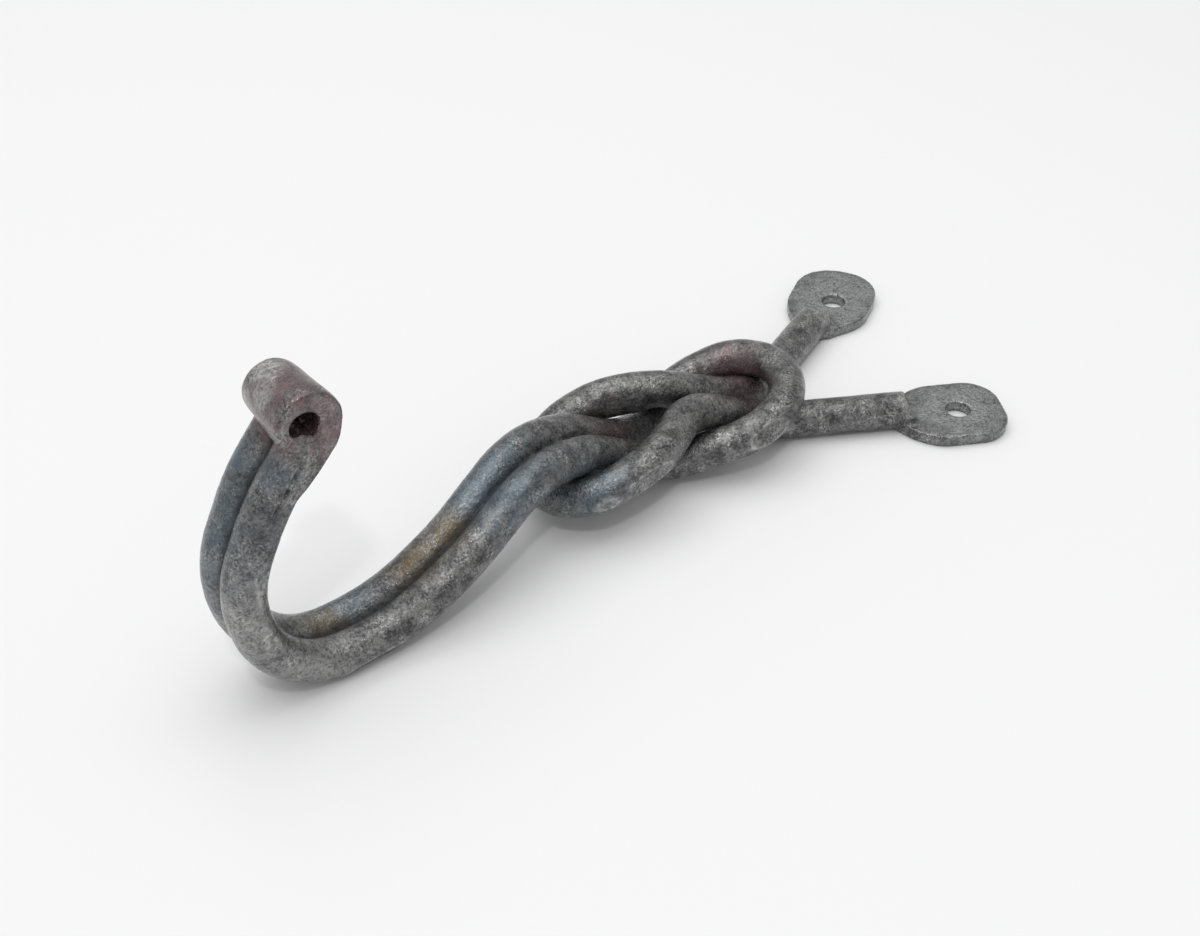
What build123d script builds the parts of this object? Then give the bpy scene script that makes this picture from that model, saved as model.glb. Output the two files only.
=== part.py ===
"""Forged wall hook: two round bars locked together in a square knot.

The hook bar is one bar bent double. Its two strands lie side by side, make the knot's upper bight,
run down the shank, swing round the hook and end in one flattened, rolled-over tip. The mount bar is
a second bar. Its bight hangs in the hook bar's, and its two legs part in a V and end in screw tabs.

Millimetres. Origin: midway between the two screw holes, on the wall plane. +Y runs through both
holes, +Z stands out of the wall, and the hook hangs towards -X.
"""
from build123d import *
import os
from math import atan2, cos, degrees, hypot, pi, radians, sin, tan

# Bars
BAR_D = 6.35            # quarter-inch round stock
BAR_R = BAR_D / 2
STRAND_GAP = 0.24       # the air left between the paired strands, which touch on a real hook
BEND_SHARE = 0.47       # how much of the shorter run each bend takes up

# Screw tabs
HOLE_R = 2.1
TAB_T = 2.2             # thickness of the flattened ends
NEAR_TAB_L = 16.0       # the near tab is nearly square, with big round corners
NEAR_TAB_W = 15.0
NEAR_CORNER_R = 6.0
NEAR_TAB_AT = (-0.6, 0.0)   # its middle, from the hole: on past the leg, and to the leg's left
NEAR_TAB_SKEW = 0.0     # degrees between the leg and the tab's length
FAR_TAB_L = 18.6        # the far tab is longer, and was hammered off to one side
FAR_TAB_W = 14.8
FAR_CORNER_R = 7.0
FAR_TAB_AT = (1.6, 0.8)
FAR_TAB_SKEW = 8.0
TAB_NECK_W = 5.7        # the plate under the bar's end, a little narrower than the bar
TAB_NECK_L = 14.0       # from the hole back to where that plate ends under the bar
TAB_FLARE_R = 4.0       # hollow curve from the bar's side to the tab
TOUCH = 0.01            # closer than this, two points are the same
TAB_RIM_R = 0.5
SHOULDER_R = 8.3        # the shoulder's foot, round the hole
SHOULDER_RISE = 5.0     # the shoulder's height, more than the bar needs
SHOULDER_SLOPE = 0.45   # how far the shoulder leans back for each millimetre of height
BAR_INTO_TAB = 6.0      # the bar ends this far short of the hole's centre

# Rolled tip, in the hook's own plane
TIP_W = 11.0            # the strands are hammered narrower as they run into the roll
ROLL_AT = (0.9, 46.7)   # x, z of the roll's centre
ROLL_R = 4.5
ROLL_BORE_R = 2.3
ROLL_BORE_SHIFT = -0.5  # the bore sits away from the neck's side of the roll
ROLL_WALL = 2.9         # wall where the neck runs into the roll
NECK_MEETS_ROLL = -35.0 # degrees round the roll, from +X
NECK_START = 0.28       # where on the tip's straight run the neck begins to flatten
STRAND_END = 0.45       # where on that run the round strands end, inside the neck
EDGE_R = 0.5
ROUND_CORNER = 0.94     # corner radius over bar radius where the neck still has the strands' outline

# Corner points of both bars' centre lines in the hook's plane: x along the shank, from the hook to
# the tabs, y across it and z off the wall. Each point is a corner that a bend rounds off.
HOOK_XZ = [(5.5, 43.5), (-5.5, 35.0), (-11.5, 22.5), (-9.5, 10.5), (-2.0, BAR_R), (11.0, BAR_R),
           (23.0, 9.0)]
# Hook bar through the knot. Both strands share their heights: over the mount bar's bight, down
# under its legs, and up again into the bight that holds them.
HOOK_KNOT_Z = [16.0, 13.0, 7.0, 3.6, 6.0, 9.0, 10.5]
HOOK_NEAR_XY = [(39.0, 1.0), (50.5, 4.5), (60.0, 4.5), (67.5, 3.5), (73.5, -0.5), (81.5, -4.0),
                (90.0, -0.5)]
HOOK_FAR_XY = [(40.0, 8.5), (51.0, 11.2), (60.0, 11.2), (67.5, 13.5), (79.0, 18.2), (90.5, 16.0),
               (94.0, 7.5)]
# Mount bar through the knot, from the V inwards to its bight.
MOUNT_KNOT_Z = [BAR_R, BAR_R, 7.0, 11.5, 11.5, 8.5, 6.0]
MOUNT_NEAR_XY = [(96.5, -1.5), (88.5, 2.5), (81.0, 4.0), (72.5, 5.0), (60.0, -2.5), (48.5, -1.5),
                 (44.5, 5.0)]
MOUNT_FAR_XY = [(99.0, 14.0), (92.0, 9.0), (82.0, 10.6), (72.5, 12.5), (63.5, 16.7), (54.0, 18.2),
                (46.0, 13.5)]
NEAR_HOLE = (118.5, -13.0)
FAR_HOLE = (124.5, 25.5)

# The screw line is the part's own Y axis, and the shank hangs from it at a slight lean.
SCREW_MID = ((NEAR_HOLE[0] + FAR_HOLE[0]) / 2, (NEAR_HOLE[1] + FAR_HOLE[1]) / 2)
SCREW_SPACING = hypot(FAR_HOLE[0] - NEAR_HOLE[0], FAR_HOLE[1] - NEAR_HOLE[1])
LEAN = degrees(atan2(FAR_HOLE[0] - NEAR_HOLE[0], FAR_HOLE[1] - NEAR_HOLE[1]))


def bend_radii(corners):
    """Radius at each corner, so that a bend takes up BEND_SHARE of the shorter run beside it."""
    radii = []
    for before, corner, after in zip(corners, corners[1:], corners[2:]):
        turn = radians((corner - before).get_angle(after - corner))
        shorter = min((corner - before).length, (after - corner).length)
        radii.append(BEND_SHARE * shorter / tan(turn / 2))
    return radii


def round_bar(corners):
    """A round bar bent along straight runs and tangent arcs."""
    corners = [Vector(*corner) for corner in corners]
    radii = bend_radii(corners)
    path = FilletPolyline(*corners, radius=radii)
    section = Plane(path @ 0, z_dir=path % 0) * Circle(BAR_R)
    bar = sweep(section, path=path)
    section_length = pi * BAR_R**2 * path.length
    print(f"bar {path.length:.1f} mm, tightest bend {min(radii):.1f} mm")
    print(f"volume / (section x length) {bar.volume / section_length:.4f}")
    return bar


def in_part_frame(shape):
    """From the hook's plane to the part's frame."""
    return Rot(0, 0, LEAN) * Pos(-SCREW_MID[0], -SCREW_MID[1], 0) * shape


def between(start, end, share):
    """The point a share of the way from start to end."""
    return tuple(a + share * (b - a) for a, b in zip(start, end))


def hook_strand(side, knot_xy):
    """Corner points of one strand, from the tip to the knot's bight. side is -1 near, 1 far."""
    y = side * (BAR_D + STRAND_GAP) / 2
    tip = between(HOOK_XZ[1], HOOK_XZ[0], STRAND_END)
    bend = [(x, y, z) for x, z in [tip] + HOOK_XZ[1:]]
    knot = [(x, y, z) for (x, y), z in zip(knot_xy, HOOK_KNOT_Z)]
    return bend + knot


def tip_plane(x, z, direction):
    """Plane across the tip at x, z. It faces direction, an angle up from +X; its x is the part's Y."""
    facing = (cos(direction), 0, sin(direction))
    return Plane((x, 0, z), x_dir=(0, 1, 0), z_dir=facing)


def rolled_tip():
    """The neck, which flattens from the two strands' full thickness, and the roll that it ends in."""
    run_start, run_end = HOOK_XZ[1], HOOK_XZ[0]
    along = atan2(run_end[1] - run_start[1], run_end[0] - run_start[0])
    base = tip_plane(*between(run_start, run_end, NECK_START), along)
    meets = radians(NECK_MEETS_ROLL)
    reach = ROLL_R - ROLL_WALL / 2
    root = tip_plane(ROLL_AT[0] + reach * cos(meets), ROLL_AT[1] + reach * sin(meets), meets + pi / 2)
    strands = base * RectangleRounded(2 * BAR_D + STRAND_GAP, BAR_D, ROUND_CORNER * BAR_R)
    flattened = root * RectangleRounded(TIP_W, ROLL_WALL, EDGE_R)
    neck = loft([strands, flattened])
    across = Plane((ROLL_AT[0], -TIP_W / 2, ROLL_AT[1]), x_dir=(1, 0, 0), z_dir=(0, 1, 0))
    roll = extrude(across * Circle(ROLL_R), TIP_W)
    roll = fillet(roll.edges().filter_by(GeomType.CIRCLE), EDGE_R)
    bore = across * Pos(ROLL_BORE_SHIFT, 0) * Circle(ROLL_BORE_R)
    return neck + roll - extrude(bore, TIP_W)


def hook_bar():
    near = hook_strand(-1, HOOK_NEAR_XY)
    far = hook_strand(1, HOOK_FAR_XY)
    return round_bar(near + far[::-1]) + rolled_tip()


def tab_place(hole, leg_from):
    """Place of a tab: its hole at the origin, its leg coming in along -X from leg_from."""
    angle = degrees(atan2(hole[1] - leg_from[1], hole[0] - leg_from[0]))
    return Pos(hole[0], hole[1], 0) * Rot(0, 0, angle)


def screw_tab(length, width, corner_r, middle, skew):
    """A flattened end round a hole, flaring out of the bar's sides and running on past the hole."""
    plate = Rot(0, 0, skew) * Pos(*middle) * RectangleRounded(length, width, corner_r)
    neck = Pos(-TAB_NECK_L / 2, 0) * Rectangle(TAB_NECK_L, TAB_NECK_W)
    outline = plate + neck
    on_neck_sides = [v for v in outline.vertices() if abs(abs(v.Y) - TAB_NECK_W / 2) < TOUCH]
    hollows = [v for v in on_neck_sides if v.X > -TAB_NECK_L + TOUCH]
    outline = fillet(hollows, TAB_FLARE_R)
    tab = extrude(outline, TAB_T)
    return fillet(tab.faces().sort_by(Axis.Z)[-1].outer_wire().edges(), TAB_RIM_R)


def shoulder_cut():
    """What comes off the bar's top over a tab, so that a sloped shoulder stands round the hole."""
    top_r = SHOULDER_R + SHOULDER_RISE * SHOULDER_SLOPE
    cone = Cone(SHOULDER_R, top_r, SHOULDER_RISE, align=(Align.CENTER, Align.CENTER, Align.MIN))
    return Pos(0, 0, TAB_T) * cone


def mount_bar():
    near = [(x, y, z) for (x, y), z in zip(MOUNT_NEAR_XY, MOUNT_KNOT_Z)]
    far = [(x, y, z) for (x, y), z in zip(MOUNT_FAR_XY, MOUNT_KNOT_Z)]
    ends = []
    for hole, last in ((NEAR_HOLE, near[0]), (FAR_HOLE, far[0])):
        run = hypot(hole[0] - last[0], hole[1] - last[1])
        x, y = between(hole, last[:2], BAR_INTO_TAB / run)
        ends.append((x, y, BAR_R))
    bar = round_bar([ends[0]] + near + far[::-1] + [ends[1]])
    near_tab = screw_tab(NEAR_TAB_L, NEAR_TAB_W, NEAR_CORNER_R, NEAR_TAB_AT, NEAR_TAB_SKEW)
    far_tab = screw_tab(FAR_TAB_L, FAR_TAB_W, FAR_CORNER_R, FAR_TAB_AT, FAR_TAB_SKEW)
    for tab, hole, last in ((near_tab, NEAR_HOLE, near[0]), (far_tab, FAR_HOLE, far[0])):
        place = tab_place(hole, last)
        bar -= place * shoulder_cut()
        bar += place * tab
        bar -= place * Pos(0, 0, TAB_T / 2) * Cylinder(HOLE_R, 2 * TAB_T)
    return bar


def main():
    os.makedirs("parts", exist_ok=True)
    print(f"screw spacing {SCREW_SPACING:.2f} mm, lean {LEAN:.2f} degrees")
    bars = {"hook_bar": hook_bar(), "mount_bar": mount_bar()}
    for node, bar in bars.items():
        export_step(in_part_frame(bar), f"parts/{node}.step")
    shared = bars["hook_bar"] & bars["mount_bar"]
    overlap = shared.volume if shared else 0.0
    print(f"overlap between the bars {overlap:.4f} mm3")


main()
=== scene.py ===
"""Looks of a forged wall hook: two round bars of hammered steel, locked in a square knot.

Lengths are written in millimetres in the hook's own plane, as a smith would measure them: x along
the shank from the hook to the screw tabs, y across it, z off the wall. place() turns them into
the part's frame, in metres.
"""
from math import atan2, cos, hypot, pi, radians, sin, tan

import bmesh
import bpy
import numpy as np
from bpy.props import FloatProperty, FloatVectorProperty, IntProperty, PointerProperty
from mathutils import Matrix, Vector


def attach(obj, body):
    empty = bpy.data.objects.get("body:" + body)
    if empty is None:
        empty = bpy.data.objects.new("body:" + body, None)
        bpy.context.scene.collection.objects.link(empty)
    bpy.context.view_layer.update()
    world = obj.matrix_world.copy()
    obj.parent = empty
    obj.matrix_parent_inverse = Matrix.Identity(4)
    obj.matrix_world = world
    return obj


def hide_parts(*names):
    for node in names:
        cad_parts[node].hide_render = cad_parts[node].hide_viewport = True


bl_info = {
    "name": "Forged knot hook",
    "version": (1, 0, 0),
    "blender": (4, 5, 0),
    "location": "View3D > Sidebar > Knot hook",
    "description": "Builds the hammered steel bars of a square-knot wall hook on its packed frame",
    "category": "Add Mesh",
}

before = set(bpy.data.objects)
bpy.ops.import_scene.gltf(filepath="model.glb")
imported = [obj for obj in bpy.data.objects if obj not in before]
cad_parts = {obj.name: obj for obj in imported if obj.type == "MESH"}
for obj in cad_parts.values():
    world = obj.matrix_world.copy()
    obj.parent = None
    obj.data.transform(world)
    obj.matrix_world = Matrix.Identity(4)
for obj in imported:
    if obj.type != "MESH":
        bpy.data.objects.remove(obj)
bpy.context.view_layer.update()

MM = 0.001
BAR_R = 6.35 / 2
STRAND_OVERLAP = 0.06   # mm that the strands are pressed into each other
BEND_SHARE = 0.47       # of the shorter run beside a corner, taken up by its bend

# Corner points of both bars' centre lines. A bend rounds off each corner.
HOOK_XZ = [(5.5, 43.5), (-5.5, 35.0), (-11.5, 22.5), (-9.5, 10.5), (-2.0, BAR_R), (11.0, BAR_R),
           (23.0, 9.0)]
HOOK_KNOT_Z = [16.0, 13.0, 7.0, 3.6, 6.0, 9.0, 10.5]
HOOK_NEAR_XY = [(39.0, 1.0), (50.5, 4.5), (60.0, 4.5), (67.5, 3.5), (73.5, -0.5), (81.5, -4.0),
                (90.0, -0.5)]
HOOK_FAR_XY = [(40.0, 8.5), (51.0, 11.2), (60.0, 11.2), (67.5, 13.5), (79.0, 18.2), (90.5, 16.0),
               (94.0, 7.5)]
MOUNT_KNOT_Z = [BAR_R, BAR_R, 7.0, 11.5, 11.5, 8.5, 6.0]
MOUNT_NEAR_XY = [(96.5, -1.5), (88.5, 2.5), (81.0, 4.0), (72.5, 5.0), (60.0, -2.5), (48.5, -1.5),
                 (44.5, 5.0)]
MOUNT_FAR_XY = [(99.0, 14.0), (92.0, 9.0), (82.0, 10.6), (72.5, 12.5), (63.5, 16.7), (54.0, 18.2),
                (46.0, 13.5)]
NEAR_HOLE = (118.5, -13.0)
FAR_HOLE = (124.5, 25.5)

SCREW_MID = np.array([(NEAR_HOLE[0] + FAR_HOLE[0]) / 2, (NEAR_HOLE[1] + FAR_HOLE[1]) / 2, 0.0])
LEAN = atan2(FAR_HOLE[0] - NEAR_HOLE[0], FAR_HOLE[1] - NEAR_HOLE[1])
TURN = np.array([[cos(LEAN), -sin(LEAN), 0], [sin(LEAN), cos(LEAN), 0], [0, 0, 1]])


def place(points):
    """From the hook's plane, in mm, to the part's frame, in metres."""
    return (np.asarray(points, float) - SCREW_MID) @ TURN.T * MM


def unplace(points):
    """From the part's frame, in metres, to the hook's plane, in mm."""
    return np.asarray(points, float) / MM @ TURN + SCREW_MID


def smooth_step(low, high, value):
    """0 below low, 1 above high, and an even ramp between."""
    t = np.clip((value - low) / (high - low), 0, 1)
    return t * t * (3 - 2 * t)


# ---------------------------------------------------------------- sizes that a user would change


class BarSizes(bpy.types.PropertyGroup):
    step: FloatProperty(name="Step", description="Spacing of the rings along a bar",
                        default=0.4 * MM, unit="LENGTH")
    sides: IntProperty(name="Sides", description="Points round a bar's ring", default=56, min=12)
    ease: IntProperty(name="Ease", description="Passes that even out the change from run to bend",
                      default=3, min=0)
    swell: FloatProperty(name="Swell", description="How much a bar's thickness wanders",
                         default=0.03, subtype="FACTOR")
    voxel: FloatProperty(name="Voxel", description="Cell size at which a bar's pieces are welded",
                         default=0.29 * MM, unit="LENGTH")
    dent: FloatProperty(name="Dent depth", description="Depth of the shallow hammer dents",
                        default=0.11 * MM, unit="LENGTH")
    dent_size: FloatProperty(name="Dent size", description="Width of the shallow hammer dents",
                             default=5.0 * MM, unit="LENGTH")
    grain: FloatProperty(name="Grain depth", description="Depth of the scale's coarse grain",
                         default=0.045 * MM, unit="LENGTH")
    grain_size: FloatProperty(name="Grain size", description="Width of the scale's coarse grain",
                              default=1.1 * MM, unit="LENGTH")
    seed: FloatProperty(name="Seed", description="Seed of the dents and the grain", default=3.0)


class TipSizes(bpy.types.PropertyGroup):
    width: FloatProperty(name="Width", description="Width of the rolled strip, mm", default=11.4)
    roll_r: FloatProperty(name="Roll radius", description="Outer radius of the roll, mm",
                          default=4.45)
    taper: FloatProperty(name="Taper", description="Share by which the roll grows for each mm "
                         "towards its near end", default=0.015, precision=4)


class TabSizes(bpy.types.PropertyGroup):
    thickness: FloatProperty(name="Thickness", description="Thickness of a screw tab, mm",
                             default=2.2)
    hole_r: FloatProperty(name="Hole radius", description="Radius of a screw hole, mm", default=2.1)
    flare: FloatProperty(name="Flare", description="How softly a leg widens into its tab, mm",
                         default=5.5)
    shoulder_r: FloatProperty(name="Shoulder radius", description="Foot of the shoulder, from the "
                              "hole's middle, mm", default=8.3)
    shoulder_slope: FloatProperty(name="Shoulder slope", description="How far the shoulder leans "
                                  "back for each mm of height", default=0.45)


class SteelFinish(bpy.types.PropertyGroup):
    dark: FloatVectorProperty(name="Dark scale", description="Colour of the thick scale",
                              subtype="COLOR", default=(0.040, 0.040, 0.041))
    mid: FloatVectorProperty(name="Mid scale", description="Colour of the worn scale",
                             subtype="COLOR", default=(0.185, 0.185, 0.183))
    pale: FloatVectorProperty(name="Pale scale", description="Colour of the thin, ashy scale",
                              subtype="COLOR", default=(0.52, 0.52, 0.51))
    blue: FloatVectorProperty(name="Temper blue", description="Colour of the blued steel",
                              subtype="COLOR", default=(0.10, 0.145, 0.18))
    ochre: FloatVectorProperty(name="Ochre", description="Colour of the straw and rust stain",
                               subtype="COLOR", default=(0.14, 0.10, 0.05))
    # Painted shade: the near black that is painted into the seam between the strands.
    soot: FloatVectorProperty(name="Soot", description="Colour of the soot in the seam",
                              subtype="COLOR", default=(0.012, 0.014, 0.017))
    tab: FloatVectorProperty(name="Tab grey", description="Colour of the smooth tabs",
                             subtype="COLOR", default=(0.37, 0.385, 0.38))
    plum: FloatVectorProperty(name="Plum", description="Colour of the purple-brown stain",
                              subtype="COLOR", default=(0.18, 0.105, 0.112))


class StageSizes(bpy.types.PropertyGroup):
    azimuth: FloatProperty(name="Azimuth", description="Camera's heading from +Y towards +X",
                           default=radians(27.26), subtype="ANGLE")
    elevation: FloatProperty(name="Elevation", description="Camera's height over the table",
                             default=radians(38.79), subtype="ANGLE")
    distance: FloatProperty(name="Distance", description="Camera to the point that it looks at",
                            default=0.270, unit="LENGTH")
    lens: FloatProperty(name="Lens", description="Focal length in mm on a 36 mm frame",
                        default=48.0)


# ------------------------------------------------------------------------------ node tree helpers


def new_tree(name, sockets):
    """A geometry tree with the given (name, type, default) inputs and one geometry output."""
    tree = bpy.data.node_groups.new(name, "GeometryNodeTree")
    tree.interface.new_socket("Geometry", in_out="INPUT", socket_type="NodeSocketGeometry")
    for label, kind, default in sockets:
        socket = tree.interface.new_socket(label, in_out="INPUT", socket_type=kind)
        if default is not None:
            socket.default_value = default
    tree.interface.new_socket("Geometry", in_out="OUTPUT", socket_type="NodeSocketGeometry")
    return tree


def node(tree, kind, **settings):
    """A new node. Settings with a leading underscore are inputs, by name with _ for a space."""
    made = tree.nodes.new(kind)
    for key, value in settings.items():
        if key.startswith("_"):
            feed(tree, made.inputs[key[1:].replace("_", " ")], value)
        else:
            setattr(made, key, value)
    return made


def feed(tree, socket, value):
    """Links value to socket if value is a socket, or sets it."""
    if isinstance(value, bpy.types.NodeSocket):
        tree.links.new(value, socket)
    else:
        socket.default_value = value


def maths(tree, operation, *values):
    """A math node's output."""
    made = tree.nodes.new("ShaderNodeMath")
    made.operation = operation
    for socket, value in zip(made.inputs, values):
        feed(tree, socket, value)
    return made.outputs[0]


def run_tree(obj, tree, **inputs):
    """Applies a tree to obj with the inputs named, and returns the plain mesh it makes."""
    modifier = obj.modifiers.new(tree.name, "NODES")
    modifier.node_group = tree
    sockets = {item.name: item.identifier for item in tree.interface.items_tree
               if item.item_type == "SOCKET" and item.in_out == "INPUT"}
    for label, value in inputs.items():
        modifier[sockets[label.replace("_", " ")]] = value
    return baked(obj)


def baked(obj):
    """The evaluated mesh of obj as a plain mesh; its modifiers are removed."""
    bpy.context.view_layer.update()
    graph = bpy.context.evaluated_depsgraph_get()
    mesh = bpy.data.meshes.new_from_object(obj.evaluated_get(graph), depsgraph=graph)
    obj.modifiers.clear()
    return mesh


def link_new(name, data):
    """A new object at the origin, linked to the scene."""
    obj = bpy.data.objects.new(name, data)
    bpy.context.scene.collection.objects.link(obj)
    return obj


# -------------------------------------------------------------------------------- the round bars


CORNER_POINTS = 12      # along each rounded corner, before the line is resampled
WANDER_SCALE = 110.0    # cells for each metre in the noise that a bar's thickness follows


def bent_bar_tree():
    """Turns a line of corners into a round bar. Each corner's radius attribute is its bend."""
    tree = new_tree("Bent bar", [
        ("Bar radius", "NodeSocketFloat", BAR_R * MM), ("Step", "NodeSocketFloat", 0.4 * MM),
        ("Sides", "NodeSocketInt", 56), ("Ease", "NodeSocketInt", 3),
        ("Swell", "NodeSocketFloat", 0.03), ("Seed", "NodeSocketFloat", 0.0)])
    given = node(tree, "NodeGroupInput").outputs
    bend = node(tree, "GeometryNodeInputRadius").outputs[0]
    rounded = node(tree, "GeometryNodeFilletCurve", mode="POLY", _Curve=given["Geometry"],
                   _Count=CORNER_POINTS, _Radius=bend)
    even = node(tree, "GeometryNodeResampleCurve", mode="LENGTH", _Curve=rounded.outputs[0],
                _Length=given["Step"])
    here = node(tree, "GeometryNodeInputPosition").outputs[0]
    blur = node(tree, "GeometryNodeBlurAttribute", data_type="FLOAT_VECTOR",
                _Iterations=given["Ease"])
    feed(tree, blur.inputs["Value"], here)
    eased = node(tree, "GeometryNodeSetPosition", _Geometry=even.outputs[0],
                 _Position=blur.outputs[0])
    wander = node(tree, "ShaderNodeTexNoise", noise_dimensions="4D", _Vector=here,
                  _W=given["Seed"], _Scale=WANDER_SCALE, _Detail=1.0)
    swing = maths(tree, "MULTIPLY", maths(tree, "SUBTRACT", wander.outputs[0], 0.5), given["Swell"])
    sized = node(tree, "GeometryNodeSetCurveRadius", _Curve=eased.outputs[0],
                 _Radius=maths(tree, "ADD", 1.0, maths(tree, "MULTIPLY", swing, 2.0)))
    ring = node(tree, "GeometryNodeCurvePrimitiveCircle", _Resolution=given["Sides"],
                _Radius=given["Bar radius"])
    skin = node(tree, "GeometryNodeCurveToMesh", _Curve=sized.outputs[0],
                _Profile_Curve=ring.outputs[0])
    skin.inputs["Fill Caps"].default_value = True
    real = node(tree, "GeometryNodeRealizeInstances", _Geometry=skin.outputs[0])
    coated = node(tree, "GeometryNodeSetMaterial", _Geometry=real.outputs[0])
    out = node(tree, "NodeGroupOutput")
    tree.links.new(coated.outputs[0], out.inputs[0])
    return tree


def bend_radii(corners):
    """Radius at each corner, so that a bend takes up BEND_SHARE of the shorter run beside it."""
    radii = [0.0]
    for before, corner, after in zip(corners, corners[1:], corners[2:]):
        turn = (corner - before).angle(after - corner)
        shorter = min((corner - before).length, (after - corner).length)
        radii.append(BEND_SHARE * shorter / tan(turn / 2))
    return radii + [0.0]


def bar_mesh(name, corners, sizes, seed):
    """The mesh of a round bar bent through corners, in mm in the hook's plane."""
    corners = [Vector(corner) for corner in place(corners)]
    line = bpy.data.curves.new(name, "CURVE")
    line.dimensions = "3D"
    spline = line.splines.new("POLY")
    spline.points.add(len(corners) - 1)
    for point, corner, radius in zip(spline.points, corners, bend_radii(corners)):
        point.co = (*corner, 1.0)
        point.radius = radius
    obj = link_new(name, line)
    mesh = run_tree(obj, bent_bar_tree(), Bar_radius=BAR_R * MM, Step=sizes.step, Sides=sizes.sides,
                    Ease=sizes.ease, Swell=sizes.swell, Seed=seed)
    bpy.data.objects.remove(obj)
    return mesh


def between(start, end, share):
    """The point a share of the way from start to end."""
    return tuple(a + share * (b - a) for a, b in zip(start, end))


# ------------------------------------------------------------------------------- the rolled tip


STRAND_TIP = (0.9, 42.6)            # x, z where the round strands end, inside the strip
STRAND_PINCH = 0.05                 # how far each strand leans in towards the other at its end, mm
ROLL_AT = np.array([0.93, 46.6])    # x, z of the roll's middle
TAPER_BAND = (39.5, 44.0)           # z over which the strip takes up the roll's taper
STRIP_SQUARENESS = 9.0              # power of the strip's rounded section; 2 is an ellipse
STRIP_SIDES = 64
STRIP_STEPS = 6                     # rings from one station below to the next

# The strip's throat side on its way to the roll: x, z and the strip's thickness there.
NECK_LINE = ((-5.3, 32.0, 1.6), (-3.4, 34.3, 2.0), (-1.4, 35.9, 2.3), (0.7, 37.6, 2.8),
             (3.0, 39.9, 3.5), (4.8, 42.6, 3.9))
# Round the roll: degrees from +X, outer radius over the roll's radius, and thickness.
ROLL_LINE = ((-8, 1.08, 3.5), (20, 1.06, 3.4), (55, 1.04, 3.2), (90, 1.03, 3.0),
             (125, 1.01, 2.6), (160, 1.0, 2.2), (190, 0.99, 2.1), (212, 0.97, 2.3),
             (232, 0.94, 2.6), (252, 0.90, 2.9), (272, 0.84, 2.8), (290, 0.76, 2.3))


def strip_stations(tip):
    """x, z and thickness along the strip, from the strands to the lip, and its inward normals."""
    rows = list(NECK_LINE)
    for angle, share, wall in ROLL_LINE:
        x, z = ROLL_AT + share * tip.roll_r * np.array([cos(radians(angle)), sin(radians(angle))])
        rows.append((x, z, wall))
    rows = finer(np.array(rows), STRIP_STEPS)
    along = np.gradient(rows[:, :2], axis=0)
    along /= np.linalg.norm(along, axis=1)[:, None]
    inward = np.column_stack([-along[:, 1], along[:, 0]])
    rows[:, :2] += inward * rows[:, 2:3] / 2
    return rows, inward


def finer(rows, times):
    """Rows of numbers, with times as many, on a smooth curve through them (Catmull-Rom)."""
    padded = np.vstack([2 * rows[0] - rows[1], rows, 2 * rows[-1] - rows[-2]])
    out = []
    for a, b, c, d in zip(padded, padded[1:], padded[2:], padded[3:]):
        for t in np.arange(times) / times:
            out.append(0.5 * (2 * b + (c - a) * t + (2 * a - 5 * b + 4 * c - d) * t**2
                              + (3 * b - a - 3 * c + d) * t**3))
    return np.array(out + [rows[-1]])


def ring_skin(rings):
    """Faces that join rings of equal length into one closed skin with flat ends."""
    count, sides = rings.shape[:2]
    faces = [list(range(sides))[::-1], list(range((count - 1) * sides, count * sides))]
    for i in range(count - 1):
        for j in range(sides):
            k = (j + 1) % sides
            faces.append([i * sides + j, i * sides + k, (i + 1) * sides + k, (i + 1) * sides + j])
    return faces


def strip_mesh(tip):
    """The flattened end of both strands: a strip that rolls round until its lip tucks in."""
    rows, inward = strip_stations(tip)
    turn = np.linspace(0, 2 * pi, STRIP_SIDES, endpoint=False)
    round_off = 2 / STRIP_SQUARENESS
    rings = []
    for (x, z, thickness), normal in zip(rows, inward):
        a = np.sign(np.cos(turn)) * np.abs(np.cos(turn)) ** round_off * thickness / 2
        b = np.sign(np.sin(turn)) * np.abs(np.sin(turn)) ** round_off * tip.width / 2
        rings.append(np.column_stack([x + a * normal[0], b, z + a * normal[1]]))
    rings = np.array(rings)
    # The roll is fatter at its near end.
    grown = 1 - tip.taper * rings[..., 1] * smooth_step(*TAPER_BAND, rings[..., 2])
    for axis, middle in ((0, ROLL_AT[0]), (2, ROLL_AT[1])):
        rings[..., axis] = middle + (rings[..., axis] - middle) * grown
    mesh = bpy.data.meshes.new("strip")
    mesh.from_pydata(place(rings.reshape(-1, 3)).tolist(), [], ring_skin(rings))
    return outward(mesh)


def outward(mesh):
    """The mesh with its normals recalculated to point outwards."""
    work = bmesh.new()
    work.from_mesh(mesh)
    bmesh.ops.remove_doubles(work, verts=work.verts, dist=0.001 * MM)
    bmesh.ops.recalc_face_normals(work, faces=work.faces)
    work.to_mesh(mesh)
    work.free()
    return mesh


# -------------------------------------------------------------------------------- the screw tabs


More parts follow.
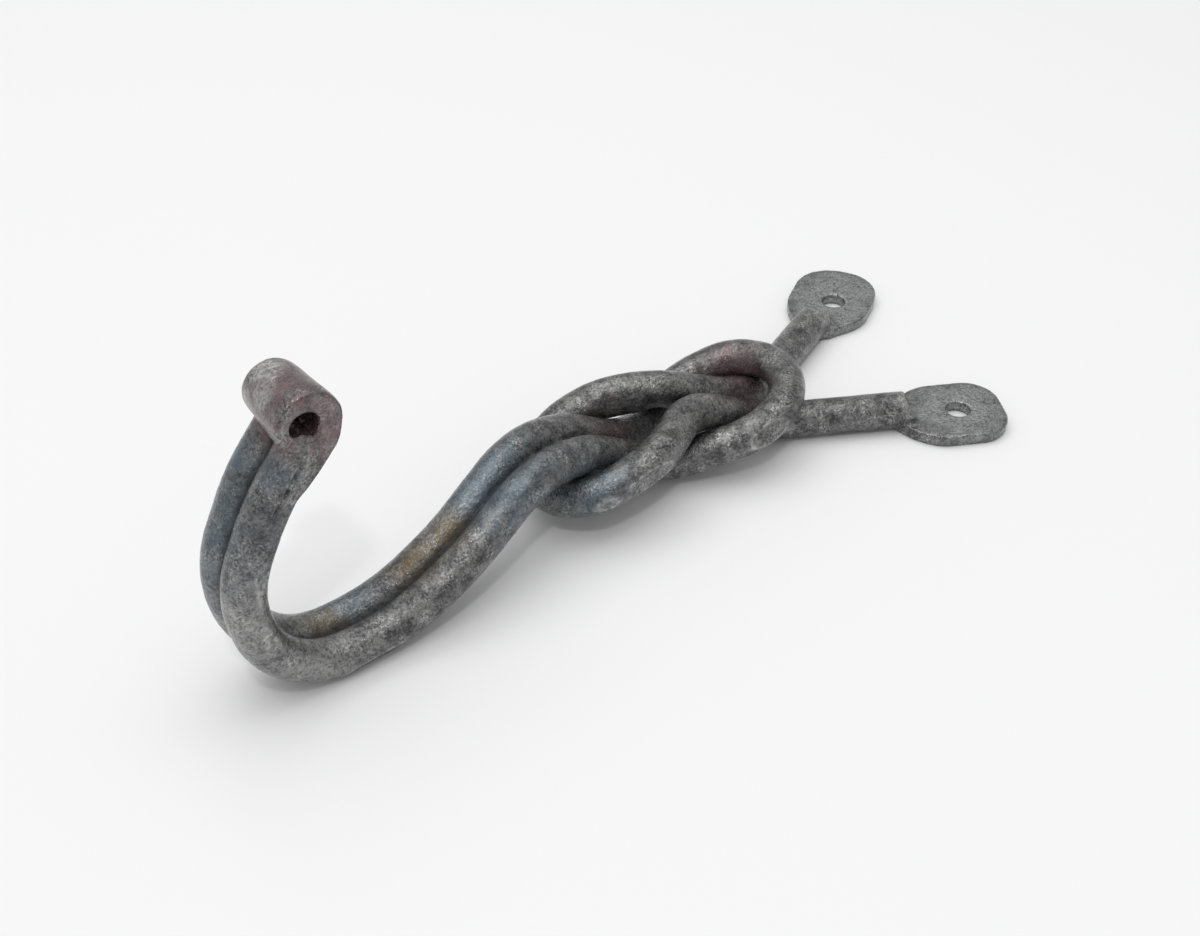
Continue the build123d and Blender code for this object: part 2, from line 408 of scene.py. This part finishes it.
# Each tab seen from its hole, the leg coming in along -X: length, width, corner radius, x and y of
# its middle, and degrees of skew. The far one was hammered off to one side.
NEAR_TAB = (17.4, 15.4, 5.8, -0.6, 0.0, 0.0)
FAR_TAB = (19.4, 15.6, 7.2, 1.4, 0.7, 8.0)
NECK_HALF = 2.85        # half width of the plate where it leaves the bar
NECK_ENDS = 13.5        # where the plate has run out under the bar, from the hole
NECK_TAPER = 4.0        # length over which the plate narrows to that end
NECK_NARROWEST = 0.2    # share of its half width that is left at that end
OUTLINE_POINTS = 180
OUTLINE_HALVINGS = 24   # steps that close in on each point of the outline
HOLE_POINTS = 48
PLATE_RIM = 0.3         # radius of the softened rims, mm
RIM_STEPS = 3
BAR_INTO_TAB = 6.0      # a bar's end stops this far short of the hole's middle
UNDER_TAB = 0.25        # how far a pressed bar's end lies below its tab's face


def box_gap(x, y, length, width, corner_r):
    """Distance from a point to a box with round corners, about the origin."""
    out_x = abs(x) - length / 2 + corner_r
    out_y = abs(y) - width / 2 + corner_r
    return hypot(max(out_x, 0), max(out_y, 0)) + min(max(out_x, out_y), 0) - corner_r


def tab_gap(x, y, tab, flare):
    """Distance to a tab's outline, negative inside, with the hollows that run out of the leg."""
    length, width, corner_r, mid_x, mid_y, skew = tab
    c, s = cos(radians(skew)), sin(radians(skew))
    plate = box_gap(x * c + y * s - mid_x, y * c - x * s - mid_y, length, width, corner_r)
    half = NECK_HALF * min(1.0, max(NECK_NARROWEST, (NECK_ENDS + x) / NECK_TAPER))
    neck = max(abs(y) - half, x, -x - NECK_ENDS)
    both = max(flare - abs(plate - neck), 0) / flare
    return min(plate, neck) - both * both * flare / 4


def tab_outline(tab, flare):
    """Outline of a tab round its hole at the origin."""
    points = []
    for turn in np.linspace(0, 2 * pi, OUTLINE_POINTS, endpoint=False):
        inside, outside = 0.0, 2 * NECK_ENDS
        for _ in range(OUTLINE_HALVINGS):
            middle = (inside + outside) / 2
            if tab_gap(middle * cos(turn), middle * sin(turn), tab, flare) < 0:
                inside = middle
            else:
                outside = middle
        points.append((inside * cos(turn), inside * sin(turn)))
    return points


def plate_mesh(outline, hole_r, thickness):
    """A plate with a round hole and softened rims, lying on z = 0, in mm."""
    flat = bpy.data.curves.new("plate", "CURVE")
    flat.dimensions = "2D"
    flat.fill_mode = "BOTH"
    flat.extrude = thickness / 2 - PLATE_RIM
    flat.bevel_depth = PLATE_RIM
    flat.bevel_resolution = RIM_STEPS
    flat.offset = -PLATE_RIM
    turns = np.linspace(2 * pi, 0, HOLE_POINTS, endpoint=False)
    hole = [(hole_r * cos(turn), hole_r * sin(turn)) for turn in turns]
    for loop in (outline, hole):
        spline = flat.splines.new("POLY")
        spline.points.add(len(loop) - 1)
        for point, (x, y) in zip(spline.points, loop):
            point.co = (x, y, 0, 1)
        spline.use_cyclic_u = True
    obj = link_new("plate", flat)
    mesh = baked(obj)
    bpy.data.objects.remove(obj)
    return mesh


def tab_mesh(tabs, tab, hole, leg_from):
    """One screw tab in the part's frame."""
    mesh = plate_mesh(tab_outline(tab, tabs.flare), tabs.hole_r, tabs.thickness)
    turn = atan2(hole[1] - leg_from[1], hole[0] - leg_from[0])
    v = vertices(mesh)
    x = hole[0] + v[:, 0] * cos(turn) - v[:, 1] * sin(turn)
    y = hole[1] + v[:, 0] * sin(turn) + v[:, 1] * cos(turn)
    write_vertices(mesh, place(np.column_stack([x, y, v[:, 2] + tabs.thickness / 2])))
    return outward(mesh)


def shoulder(mesh, tabs):
    """Presses each end of the bar down into its tab, behind a steep shoulder round the hole."""
    v = unplace(vertices(mesh))
    for hole in (NEAR_HOLE, FAR_HOLE):
        away = np.hypot(v[:, 0] - hole[0], v[:, 1] - hole[1])
        top = np.maximum(away - tabs.shoulder_r, 0) / tabs.shoulder_slope
        v[:, 2] = np.minimum(v[:, 2], tabs.thickness - UNDER_TAB + top)
    write_vertices(mesh, place(v))


# ------------------------------------------------------------------------------ hammering and skin


def vertices(mesh):
    """The mesh's vertices as an array."""
    flat = np.empty(len(mesh.vertices) * 3)
    mesh.vertices.foreach_get("co", flat)
    return flat.reshape(-1, 3)


def write_vertices(mesh, points):
    """Moves the mesh's vertices."""
    mesh.vertices.foreach_set("co", np.ascontiguousarray(points, float).ravel())
    mesh.update()


HOOK_SOFTENING = 3      # smoothing passes after the weld
MOUNT_SOFTENING = 2


def weld(name, meshes, voxel, smooth_passes):
    """Several closed meshes as one skin."""
    work = bmesh.new()
    for mesh in meshes:
        work.from_mesh(mesh)
    joined = bpy.data.meshes.new(name)
    work.to_mesh(joined)
    work.free()
    obj = link_new(name, joined)
    fuse = obj.modifiers.new("Weld", "REMESH")
    fuse.mode = "VOXEL"
    fuse.voxel_size = voxel
    fuse.use_smooth_shade = True
    soften = obj.modifiers.new("Soften", "SMOOTH")
    soften.factor = 0.5
    soften.iterations = smooth_passes
    mesh = baked(obj)
    obj.data = mesh
    return obj


# Hammered flats: a point on a bar's centre line, the way the flat faces, its half length and
# depth. A negative depth is a bulge, where the blow drove the metal out.
HOOK_FLATS = (
    ((80.7, -3.1, 8.6), (-0.09, -0.97, 0.19), 5.4, 0.62),
    ((90.2, 14.4, 8.9), (-0.35, -0.47, -0.82), 5.5, -0.42),
    ((49.0, 3.8, 13.1), (-0.15, -0.64, -0.75), 4.5, -0.3),
    ((72.7, 0.1, 5.7), (0.11, 0.66, 0.74), 4.5, -0.26),
    ((28.0, -3.3, 12.0), (-0.1, -0.92, 0.38), 7.0, 0.16),
    ((3.0, -3.3, 3.4), (0.05, -0.80, -0.6), 9.0, 0.22),
    ((-10.3, -3.3, 20.0), (0.35, -0.93, 0.0), 8.0, 0.18),
)
MOUNT_FLATS = (
    ((57.2, -1.9, 10.7), (0.05, -0.98, -0.12), 5.6, 0.5),
    ((50.4, -1.5, 9.0), (-0.35, -0.93, -0.1), 4.4, 0.22),
    ((66.0, 15.4, 11.4), (-0.2, -0.58, -0.78), 7.0, -0.62),
    ((88.4, 9.8, 4.7), (0.3, 0.52, 0.8), 5.5, -0.42),
    ((48.1, 0.1, 8.0), (0.19, 0.62, 0.76), 4.5, -0.3),
    ((72.8, 4.1, 10.7), (-0.02, -0.7, -0.71), 4.5, -0.26),
)
FLAT_FADES = 0.85       # share of a flat's half length beyond which it fades out
BULGE_FADES = 0.45      # the same for a bulge
RIM_WIDTH = 0.12        # of the burr that a blow throws up round its flat, mm
RIM_RISE = 0.08         # height of that burr, mm


def hammer_flats(mesh, flats):
    """Presses flats into a bar and swells its bulges, and stores each flat's burr as a mask, which
    the material paints pale as a highlight.
    """
    v = unplace(vertices(mesh))
    worn = np.zeros(len(v))
    for middle, facing, half, depth in flats:
        facing = np.array(facing) / np.linalg.norm(facing)
        rel = v - np.array(middle)
        away = np.linalg.norm(rel, axis=1)
        out = rel @ facing
        if depth > 0:
            here = 1 - smooth_step(FLAT_FADES * half, half, away)
            above = out - (BAR_R - depth)
            rim = np.exp(-(above / RIM_WIDTH) ** 2) * here
            worn = np.maximum(worn, rim)
            push = RIM_RISE * rim - np.maximum(above, 0) * here
        else:
            here = 1 - smooth_step(BULGE_FADES * half, half, away)
            push = -depth * smooth_step(0, BAR_R, out) * here
        v += push[:, None] * facing
    write_vertices(mesh, place(v))
    mesh.attributes.new("worn", "FLOAT", "POINT").data.foreach_set("value", worn)


# The seam between the two strands, from the hook up the shank: x, y.
SEAM_XY = np.array([(17.0, 0.0), (23.0, 0.4), (29.0, 1.75), (39.5, 4.75)])
SEAM_ENDS_X = 42.0      # beyond here, up the shank, the strands part
SEAM_ENDS_Z = 42.5      # over this height the rolled strip has no seam
SEAM_WIDTH = 0.62       # half width of the painted shade along the bottom of the seam, mm


def soot_seam(mesh):
    """Marks the deep seam between the two strands as a mask, along which the material paints shade.
    """
    v = unplace(vertices(mesh))
    aside = v[:, 1] - np.interp(v[:, 0], SEAM_XY[:, 0], SEAM_XY[:, 1])
    soot = np.exp(-(aside / SEAM_WIDTH) ** 2)
    soot *= (v[:, 0] < SEAM_ENDS_X) & (v[:, 2] < SEAM_ENDS_Z)
    mesh.attributes.new("soot", "FLOAT", "POINT").data.foreach_set("value", soot)


# The smith's cold shut: a crease along the strip's near side. First x, z of its ends.
CREASE = np.array([[-7.1, 33.5], [-0.4, 42.0]])
CREASE_WIDTH = 0.32     # half width of the groove, mm
CREASE_DEPTH = 1.1      # at its deepest, mm
CREASE_OFFSET = 0.1     # of the groove's bottom towards the throat, mm
CREASE_WAVES = (4.1, 1.7)       # radians for each mm, of the two waves that make its depth uneven
CREASED_SIDE = -3.5     # only skin with a smaller y is creased
NECK_MAX_X = 6.5        # the strands' sides are pressed flat short of this
NECK_MIN_Z = 30.0       # and over this
NECK_CLEAR = 0.02       # how far the pressed sides stand out over the strip, mm


def flatten_neck(mesh, tip):
    """Presses the strands' sides flat beside the throat, and opens the cold shut along the edge."""
    v = unplace(vertices(mesh))
    start, end = CREASE
    along = (end - start) / np.linalg.norm(end - start)
    rel = v[:, [0, 2]] - start
    to_throat = rel @ np.array([along[1], -along[0]])
    run = rel @ along
    length = np.linalg.norm(end - start)
    here = smooth_step(-2.0, 2.5, run) * (1 - smooth_step(length + 1.5, length + 3.0, run))
    here *= (v[:, 0] < NECK_MAX_X) & (v[:, 2] > NECK_MIN_Z)
    limit = tip.width / 2 + NECK_CLEAR
    spare = np.maximum(np.abs(v[:, 1]) - limit, 0) * here * smooth_step(-0.1, 0.35, to_throat)
    v[:, 1] -= np.sign(v[:, 1]) * spare
    inside = smooth_step(0.5, 2.0, run) * (1 - smooth_step(length - 1.6, length - 0.4, run))
    groove = np.exp(-((to_throat - CREASE_OFFSET) / CREASE_WIDTH) ** 2) * inside
    groove *= v[:, 1] < CREASED_SIDE
    quick, slow = CREASE_WAVES
    ragged = 0.55 + 0.45 * np.sin(run * quick) * np.sin(run * slow + 1.0)
    v[:, 1] += CREASE_DEPTH * groove * ragged
    write_vertices(mesh, place(v))


RELIEF_LEVEL = 0.62     # noise over this stands out of the skin, and under it sinks in


def forged_skin_tree():
    """Hammer dents and the scale's coarse grain on a skin, then the material."""
    tree = new_tree("Forged skin", [
        ("Dent", "NodeSocketFloat", 0.11 * MM), ("Dent size", "NodeSocketFloat", 5 * MM),
        ("Grain", "NodeSocketFloat", 0.045 * MM), ("Grain size", "NodeSocketFloat", 1.1 * MM),
        ("Seed", "NodeSocketFloat", 3.0), ("Material", "NodeSocketMaterial", None)])
    given = node(tree, "NodeGroupInput").outputs
    here = node(tree, "GeometryNodeInputPosition").outputs[0]
    normal = node(tree, "GeometryNodeInputNormal").outputs[0]
    dents = node(tree, "ShaderNodeTexNoise", noise_dimensions="4D", _Vector=here, _W=given["Seed"],
                 _Scale=maths(tree, "DIVIDE", 1.0, given["Dent size"]), _Detail=1.0)
    grain = node(tree, "ShaderNodeTexNoise", noise_dimensions="4D", _Vector=here, _W=given["Seed"],
                 _Scale=maths(tree, "DIVIDE", 1.0, given["Grain size"]), _Detail=2.0)
    deep = maths(tree, "MULTIPLY", maths(tree, "SUBTRACT", dents.outputs[0], RELIEF_LEVEL),
                 given["Dent"])
    fine = maths(tree, "MULTIPLY", maths(tree, "SUBTRACT", grain.outputs[0], RELIEF_LEVEL),
                 given["Grain"])
    # Noise strays from its middle by a half at most, so it is doubled to reach its depth.
    push = node(tree, "ShaderNodeVectorMath", operation="SCALE")
    feed(tree, push.inputs[0], normal)
    feed(tree, push.inputs["Scale"], maths(tree, "MULTIPLY", maths(tree, "ADD", deep, fine), 2.0))
    moved = node(tree, "GeometryNodeSetPosition", _Geometry=given["Geometry"],
                 _Offset=push.outputs[0])
    real = node(tree, "GeometryNodeRealizeInstances", _Geometry=moved.outputs[0])
    coated = node(tree, "GeometryNodeSetMaterial", _Geometry=real.outputs[0],
                  _Material=given["Material"])
    out = node(tree, "NodeGroupOutput")
    tree.links.new(coated.outputs[0], out.inputs[0])
    return tree


def forge_skin(obj, sizes, material, seed):
    """Hammers obj's mesh and gives it its material."""
    mesh = run_tree(obj, forged_skin_tree(), Dent=sizes.dent, Dent_size=sizes.dent_size,
                    Grain=sizes.grain, Grain_size=sizes.grain_size, Seed=seed, Material=material)
    obj.data = mesh
    mesh.shade_smooth()
    return obj


# ------------------------------------------------------------------------------------- materials


# Stains and darker spots: (centre in mm in the hook's plane, radius, colour, strength).
STAINS = (
    ((0.9, 0.0, 47.5), 8.5, "plum", 1.0),
    ((5.0, -4.0, 43.0), 5.0, "plum", 0.6),
    ((-5.2, 5.0, 39.5), 4.2, "blue", 0.9),
    ((-0.5, 3.5, 51.0), 3.4, "pale", 0.9),
    ((-2.5, 0.0, 49.5), 2.4, "pale", 0.7),
    ((-3.8, 3.8, 47.0), 2.0, "pale", 0.6),
    # The dark ones lie along the cold shut's crease and darken it.
    ((-0.9, -5.7, 41.2), 1.0, "dark", 0.95),
    ((-2.3, -5.7, 39.6), 1.2, "dark", 0.95),
    ((-3.8, -5.7, 37.7), 1.3, "dark", 0.9),
    ((-5.4, -5.9, 35.6), 1.6, "dark", 0.85),
    ((-7.2, -6.1, 32.6), 2.6, "dark", 0.7),
    ((-7.0, 5.0, 30.0), 12.0, "blue", 0.7),
    ((-12.0, 5.0, 20.0), 8.0, "blue", 0.4),
    ((-4.6, -4.5, 40.5), 3.0, "blue", 0.6),
    ((116.9, 22.1, 4.6), 4.6, "pale", 0.9),
    ((109.6, -9.4, 4.8), 2.6, "pale", 0.4),
    ((-10.5, -4.5, 18.0), 9.0, "pale", 0.3),
    ((-4.0, -5.0, 4.0), 9.0, "pale", 0.35),
    ((33.0, 4.0, 15.5), 11.0, "blue", 0.8),
    ((6.0, 4.0, 5.0), 6.0, "blue", 0.6),
    ((18.0, 0.8, 9.0), 4.6, "ochre", 0.85),
    ((24.0, 1.2, 12.2), 4.4, "ochre", 0.85),
    ((2.0, 1.0, 5.5), 4.0, "ochre", 0.7),
    ((88.0, 12.0, 8.0), 6.0, "plum", 0.8),
    ((60.0, 9.0, 11.0), 6.0, "plum", 0.7),
    ((86.0, 4.0, 8.0), 6.0, "plum", 0.6),
    ((48.0, -2.0, 11.0), 7.0, "blue", 0.6),
    ((118.5, -13.0, 2.2), 10.0, "tab", 0.8),
    ((126.0, 26.0, 2.2), 12.0, "tab", 0.8),
)


# The scale's noises: cells for each metre, detail and roughness.
NOISES = {
    "speckle": (2300.0, 4.0, 0.72),
    "patches": (520.0, 4.0, 0.62),
    "ash clouds": (340.0, 4.0, 0.6),
    "ash grain": (2900.0, 3.0, 0.7),
    "stain edge": (420.0, 3.0, 0.55),
    "stain grain": (1700.0, 3.0, 0.7),
    "pits": (1900.0, 2.0, 0.6),
    "burrs": (1100.0, 3.0, 0.55),
    "shine": (1500.0, 3.0, 0.65),
    "coarse relief": (1300.0, 2.0, 0.6),
    "fine relief": (2900.0, 3.0, 0.7),
}
METALLIC = 0.8
COAT_WEIGHT = 0.35      # of the wax
COAT_ROUGHNESS = 0.2
SEAM_SHADE_COVER = 0.93       # how much of the scale's colour the painted seam shade hides
SEAM_SHADE_ROUGHNESS = 0.9
COARSE_RELIEF = 0.10 * MM
FINE_RELIEF = 0.11 * MM


def steel(name, finish, sooty):
    """Scaled, waxed steel: dark and worn grey patches, fine grain and a broken shine.

    The burrs round the flats are painted pale as a highlight. Made for the seam, it is dull and
    black where the seam's mask is 1: painted shade between the strands.
    """
    material = bpy.data.materials.new(name)
    material.use_nodes = True
    tree = material.node_tree
    shader = tree.nodes["Principled BSDF"]
    where = node(tree, "ShaderNodeTexCoord").outputs["Object"]

    def noise(pattern):
        scale, detail, rough = NOISES[pattern]
        made = node(tree, "ShaderNodeTexNoise", _Vector=where, _Scale=scale, _Detail=detail,
                    _Roughness=rough)
        return made.outputs[0]

    def window(value, low, high):
        made = node(tree, "ShaderNodeMapRange", interpolation_type="SMOOTHSTEP", _Value=value)
        made.inputs["From Min"].default_value = low
        made.inputs["From Max"].default_value = high
        return made.outputs[0]

    def mix(amount, first, second):
        made = node(tree, "ShaderNodeMix", data_type="RGBA")
        feed(tree, made.inputs[0], amount)
        for socket, colour in zip((made.inputs[6], made.inputs[7]), (first, second)):
            feed(tree, socket, colour if isinstance(colour, bpy.types.NodeSocket) else (*colour, 1))
        return made.outputs[2]

    def spot(centre, radius, ragged=0.5):
        """1 at centre, in mm in the hook's plane, fading out raggedly at radius."""
        gap = node(tree, "ShaderNodeVectorMath", operation="DISTANCE")
        feed(tree, gap.inputs[0], where)
        gap.inputs[1].default_value = tuple(place([centre])[0])
        ring = maths(tree, "DIVIDE", gap.outputs["Value"], radius * MM)
        uneven = maths(tree, "MULTIPLY", maths(tree, "SUBTRACT", noise("stain edge"), 0.5),
                       2 * ragged)
        return window(maths(tree, "ADD", ring, uneven), 1.2, 0.3)

    mottle = maths(tree, "ADD", maths(tree, "MULTIPLY", noise("speckle"), 0.55),
                   maths(tree, "MULTIPLY", noise("patches"), 0.45))
    colour = mix(window(mottle, 0.41, 0.59), finish.dark, finish.mid)
    ash = maths(tree, "MULTIPLY", window(noise("ash clouds"), 0.40, 0.68),
                window(noise("ash grain"), 0.42, 0.66))
    colour = mix(maths(tree, "MULTIPLY", ash, 0.75), colour, finish.pale)
    for centre, radius, tint, strength in STAINS:
        amount = maths(tree, "MULTIPLY", spot(centre, radius), strength)
        broken = maths(tree, "MULTIPLY", amount, window(noise("stain grain"), 0.30, 0.60))
        colour = mix(broken, colour, getattr(finish, tint))
    pits = window(noise("pits"), 0.61, 0.70)
    colour = mix(maths(tree, "MULTIPLY", pits, 0.55), colour, finish.dark)
    # Painted highlight: the burrs round the flats are painted pale, as if their edges caught the
    # light.
    worn = node(tree, "ShaderNodeAttribute", attribute_name="worn").outputs["Fac"]
    colour = mix(maths(tree, "MULTIPLY", worn, window(noise("burrs"), 0.3, 0.75)), colour,
                 finish.pale)
    shine = node(tree, "ShaderNodeMapRange", _Value=noise("shine"))
    shine.inputs["From Min"].default_value = 0.35
    shine.inputs["From Max"].default_value = 0.65
    shine.inputs["To Min"].default_value = 0.10
    shine.inputs["To Max"].default_value = 0.48
    rough, metallic, coat = shine.outputs[0], METALLIC, COAT_WEIGHT
    if sooty:
        # Painted shade: along the seam between the strands the colour is painted near black, and
        # the steel is made dull.
        soot = node(tree, "ShaderNodeAttribute", attribute_name="soot").outputs["Fac"]
        colour = mix(maths(tree, "MULTIPLY", soot, SEAM_SHADE_COVER), colour, finish.soot)
        rough = maths(tree, "MAXIMUM", rough, maths(tree, "MULTIPLY", soot, SEAM_SHADE_ROUGHNESS))
        metallic = maths(tree, "MULTIPLY_ADD", soot, -METALLIC, METALLIC)
        coat = maths(tree, "MULTIPLY_ADD", soot, -COAT_WEIGHT, COAT_WEIGHT)
    feed(tree, shader.inputs["Base Color"], colour)
    feed(tree, shader.inputs["Metallic"], metallic)
    feed(tree, shader.inputs["Roughness"], rough)
    feed(tree, shader.inputs["Coat Weight"], coat)
    shader.inputs["Coat Roughness"].default_value = COAT_ROUGHNESS
    coarse = node(tree, "ShaderNodeBump", _Strength=1.0, _Distance=COARSE_RELIEF,
                  _Height=noise("coarse relief"))
    fine = node(tree, "ShaderNodeBump", _Strength=1.0, _Distance=FINE_RELIEF,
                _Height=noise("fine relief"), _Normal=coarse.outputs[0])
    feed(tree, shader.inputs["Normal"], fine.outputs[0])
    feed(tree, shader.inputs["Coat Normal"], fine.outputs[0])
    return material


# ------------------------------------------------------------------------------------- the stage


FLOOR_HALF = 3.0        # half side of the square floor, metres
FLOOR_COLOUR = (0.86, 0.86, 0.865, 1)
FLOOR_ROUGHNESS = 0.8
SKY_STRENGTH = 0.55
# Square area lights, in metres and watts: name, place, side and power.
LIGHTS = (
    ("top_softbox", (-0.12, 0.12, 0.90), 1.10, 5.6),
    ("key", (-0.27, -0.42, 0.77), 0.05, 0.8),
)
LIT_POINT = (-0.06, -0.005, 0.0)        # that the lights face, in metres in the part's frame
SEEN_POINT = (-61.95, -3.14, 0.0)       # that the camera looks at, in mm in the part's frame
SENSOR_WIDTH = 36.0     # mm
CLIP_START = 0.01       # metres


def lay_floor():
    """A pale floor on the wall plane."""
    mesh = bpy.data.meshes.new("floor")
    corners = [(x * FLOOR_HALF, y * FLOOR_HALF, 0) for x, y in ((-1, -1), (1, -1), (1, 1), (-1, 1))]
    mesh.from_pydata(corners, [], [(0, 1, 2, 3)])
    floor = link_new("floor", mesh)
    material = bpy.data.materials.new("floor_white")
    material.use_nodes = True
    shader = material.node_tree.nodes["Principled BSDF"]
    shader.inputs["Base Color"].default_value = FLOOR_COLOUR
    shader.inputs["Roughness"].default_value = FLOOR_ROUGHNESS
    mesh.materials.append(material)


def hang_lights(scene):
    """A white world, a large soft light over the hook and a small hard one for the highlights."""
    world = bpy.data.worlds.new("studio")
    scene.world = world
    world.use_nodes = True
    sky = world.node_tree.nodes["Background"]
    sky.inputs["Color"].default_value = (1.0, 1.0, 1.0, 1)
    sky.inputs["Strength"].default_value = SKY_STRENGTH
    scene.view_settings.view_transform = "Standard"
    target = Vector(LIT_POINT)
    for name, hung_at, size, power in LIGHTS:
        lamp = bpy.data.lights.new(name, "AREA")
        lamp.size = size
        lamp.energy = power
        obj = link_new(name, lamp)
        obj.location = Vector(hung_at)
        obj.rotation_euler = (target - obj.location).to_track_quat("-Z", "Y").to_euler()


def aim_camera(scene, stage):
    """The camera, at its distance from the point that it looks at."""
    data = bpy.data.cameras.new("camera")
    data.lens = stage.lens
    data.sensor_width = SENSOR_WIDTH
    data.clip_start = CLIP_START
    camera = link_new("camera", data)
    heading = Vector((sin(stage.azimuth) * cos(stage.elevation),
                      cos(stage.azimuth) * cos(stage.elevation), -sin(stage.elevation)))
    target = Vector(SEEN_POINT) * MM
    camera.location = target - heading * stage.distance
    camera.rotation_euler = heading.to_track_quat("-Z", "Y").to_euler()
    scene.camera = camera


# ------------------------------------------------------------------------------------- operators


MOUNT_SWELL_SEED = 10   # added to the seed, so that the bars don't look alike
MOUNT_SKIN_SEED = 5


class OBJECT_OT_forge_hook_bar(bpy.types.Operator):
    """Build the doubled bar with its knot bight, hook and rolled tip"""
    bl_idname = "object.forge_hook_bar"
    bl_label = "Forge hook bar"

    def execute(self, context):
        scene = context.scene
        sizes = scene.knot_bars
        half = BAR_R - STRAND_OVERLAP / 2
        strands = []
        for side, knot_xy in ((-1, HOOK_NEAR_XY), (1, HOOK_FAR_XY)):
            tip = [(STRAND_TIP[0], side * (half - STRAND_PINCH), STRAND_TIP[1])]
            hook = [(x, side * half, z) for x, z in HOOK_XZ[1:]]
            strands.append(tip + hook + [(x, y, z) for (x, y), z in zip(knot_xy, HOOK_KNOT_Z)])
        skin = bar_mesh("hook_bar_line", strands[0] + strands[1][::-1], sizes, sizes.seed)
        obj = weld("hook_bar_forged", [skin, strip_mesh(scene.knot_tip)], sizes.voxel,
                   HOOK_SOFTENING)
        flatten_neck(obj.data, scene.knot_tip)
        hammer_flats(obj.data, HOOK_FLATS)
        soot_seam(obj.data)
        material = steel("hook_steel_scale", scene.knot_finish, sooty=True)
        forge_skin(obj, sizes, material, sizes.seed)
        finish_piece(obj, "hook_bar")
        return {"FINISHED"}


class OBJECT_OT_forge_mount_bar(bpy.types.Operator):
    """Build the bar with the two legs and their screw tabs"""
    bl_idname = "object.forge_mount_bar"
    bl_label = "Forge mount bar"

    def execute(self, context):
        scene = context.scene
        sizes, tabs = scene.knot_bars, scene.knot_tabs
        near = [(x, y, z) for (x, y), z in zip(MOUNT_NEAR_XY, MOUNT_KNOT_Z)]
        far = [(x, y, z) for (x, y), z in zip(MOUNT_FAR_XY, MOUNT_KNOT_Z)]
        ends, plates = [], []
        for tab, hole, leg in ((NEAR_TAB, NEAR_HOLE, near), (FAR_TAB, FAR_HOLE, far)):
            run = hypot(hole[0] - leg[0][0], hole[1] - leg[0][1])
            ends.append((*between(hole, leg[0][:2], BAR_INTO_TAB / run), BAR_R))
            plates.append(tab_mesh(tabs, tab, hole, leg[0]))
        skin = bar_mesh("mount_bar_line", [ends[0]] + near + far[::-1] + [ends[1]], sizes,
                        sizes.seed + MOUNT_SWELL_SEED)
        shoulder(skin, tabs)
        obj = weld("mount_bar_forged", [skin] + plates, sizes.voxel, MOUNT_SOFTENING)
        hammer_flats(obj.data, MOUNT_FLATS)
        material = steel("mount_steel_scale", scene.knot_finish, sooty=False)
        forge_skin(obj, sizes, material, sizes.seed + MOUNT_SKIN_SEED)
        finish_piece(obj, "mount_bar")
        return {"FINISHED"}


def finish_piece(obj, cad_node):
    """Raises if the piece came out empty, then ties it to its body and hides its CAD node."""
    if not len(obj.data.polygons):
        raise RuntimeError(f"{obj.name} came out empty")
    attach(obj, "root")
    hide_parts(cad_node)


class OBJECT_OT_set_stage(bpy.types.Operator):
    """Lay the pale floor, hang the soft lights and aim the camera"""
    bl_idname = "object.set_stage"
    bl_label = "Set stage"

    def execute(self, context):
        scene = context.scene
        lay_floor()
        hang_lights(scene)
        aim_camera(scene, scene.knot_stage)
        return {"FINISHED"}


class VIEW3D_PT_knot_hook(bpy.types.Panel):
    """Sidebar panel of the knot hook"""
    bl_label = "Knot hook"
    bl_idname = "VIEW3D_PT_knot_hook"
    bl_space_type = "VIEW_3D"
    bl_region_type = "UI"
    bl_category = "Knot hook"

    def draw(self, context):
        for operator in OPERATORS:
            self.layout.operator(operator.bl_idname)


OPERATORS = (OBJECT_OT_forge_hook_bar, OBJECT_OT_forge_mount_bar, OBJECT_OT_set_stage)
GROUPS = {"knot_bars": BarSizes, "knot_tip": TipSizes, "knot_tabs": TabSizes,
          "knot_finish": SteelFinish, "knot_stage": StageSizes}


def register():
    for kind in (*GROUPS.values(), *OPERATORS, VIEW3D_PT_knot_hook):
        bpy.utils.register_class(kind)
    for name, kind in GROUPS.items():
        setattr(bpy.types.Scene, name, PointerProperty(type=kind))


def unregister():
    for name in GROUPS:
        delattr(bpy.types.Scene, name)
    for kind in (VIEW3D_PT_knot_hook, *OPERATORS[::-1], *list(GROUPS.values())[::-1]):
        bpy.utils.unregister_class(kind)


def main():
    register()
    bpy.ops.object.forge_hook_bar()
    bpy.ops.object.forge_mount_bar()
    bpy.ops.object.set_stage()


if __name__ == "__main__":
    main()
